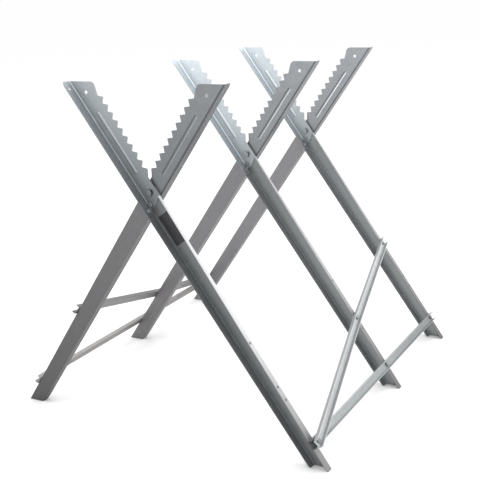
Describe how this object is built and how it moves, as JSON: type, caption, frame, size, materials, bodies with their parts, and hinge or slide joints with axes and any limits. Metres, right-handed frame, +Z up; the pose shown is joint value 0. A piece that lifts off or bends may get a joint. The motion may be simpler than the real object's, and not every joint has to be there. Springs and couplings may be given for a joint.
{
  "type": "folding log sawhorse",
  "caption": "Folding log sawhorse of galvanised steel channel: crossed legs on a common pivot line, toothed V arms that hold a log, and channel braces along each side.",
  "frame": {"origin": "middle of the footprint, on the floor: X 0 on the pivot line, Y 0 midway between the front and rear frames", "axes": "+X across the stand towards the right legs, +Y along the log towards the rear frame, +Z up"},
  "size_m": [0.8182, 0.842, 0.793],
  "materials": {
    "leg_steel": "galvanised, matt",
    "arm_steel": "galvanised, matt",
    "brace_steel": "galvanised, satin",
    "fastener": "zinc plated",
    "label": "plain black film"
  },
  "bodies": {
    "right_leg_frames": {"front_right_leg": "leg_steel", "middle_right_leg": "leg_steel", "rear_right_leg": "leg_steel", "front_left_arm": "arm_steel", "middle_left_arm": "arm_steel", "rear_left_arm": "arm_steel", "right_lower_brace": "brace_steel", "right_diagonal_brace": "brace_steel", "front_pivot_bolt": "fastener", "middle_pivot_bolt": "fastener", "rear_pivot_bolt": "fastener", "front_pivot_nut": "fastener", "middle_pivot_nut": "fastener", "rear_pivot_nut": "fastener", "front_pivot_spacer": "fastener", "middle_pivot_spacer": "fastener", "rear_pivot_spacer": "fastener", "front_stop_bolt": "fastener", "middle_stop_bolt": "fastener", "rear_stop_bolt": "fastener", "front_stop_nut": "fastener", "middle_stop_nut": "fastener", "rear_stop_nut": "fastener", "left_arm_bolts": "fastener", "left_arm_nuts": "fastener", "right_brace_bolts": "fastener", "right_brace_nuts": "fastener", "blank_label": "label"},
    "left_leg_frames": {"front_left_leg": "leg_steel", "middle_left_leg": "leg_steel", "rear_left_leg": "leg_steel", "front_right_arm": "arm_steel", "middle_right_arm": "arm_steel", "rear_right_arm": "arm_steel", "left_lower_brace": "brace_steel", "left_diagonal_brace": "brace_steel", "right_arm_bolts": "fastener", "right_arm_nuts": "fastener", "left_brace_bolts": "fastener", "left_brace_nuts": "fastener"}
  },
  "joints": [
    {"name": "fold", "type": "hinge", "parent": "right_leg_frames", "child": "left_leg_frames", "pos_m": [0, 0, 0.5615], "axis": [0, -1, 0], "range_deg": [0, 55]}
  ]
}
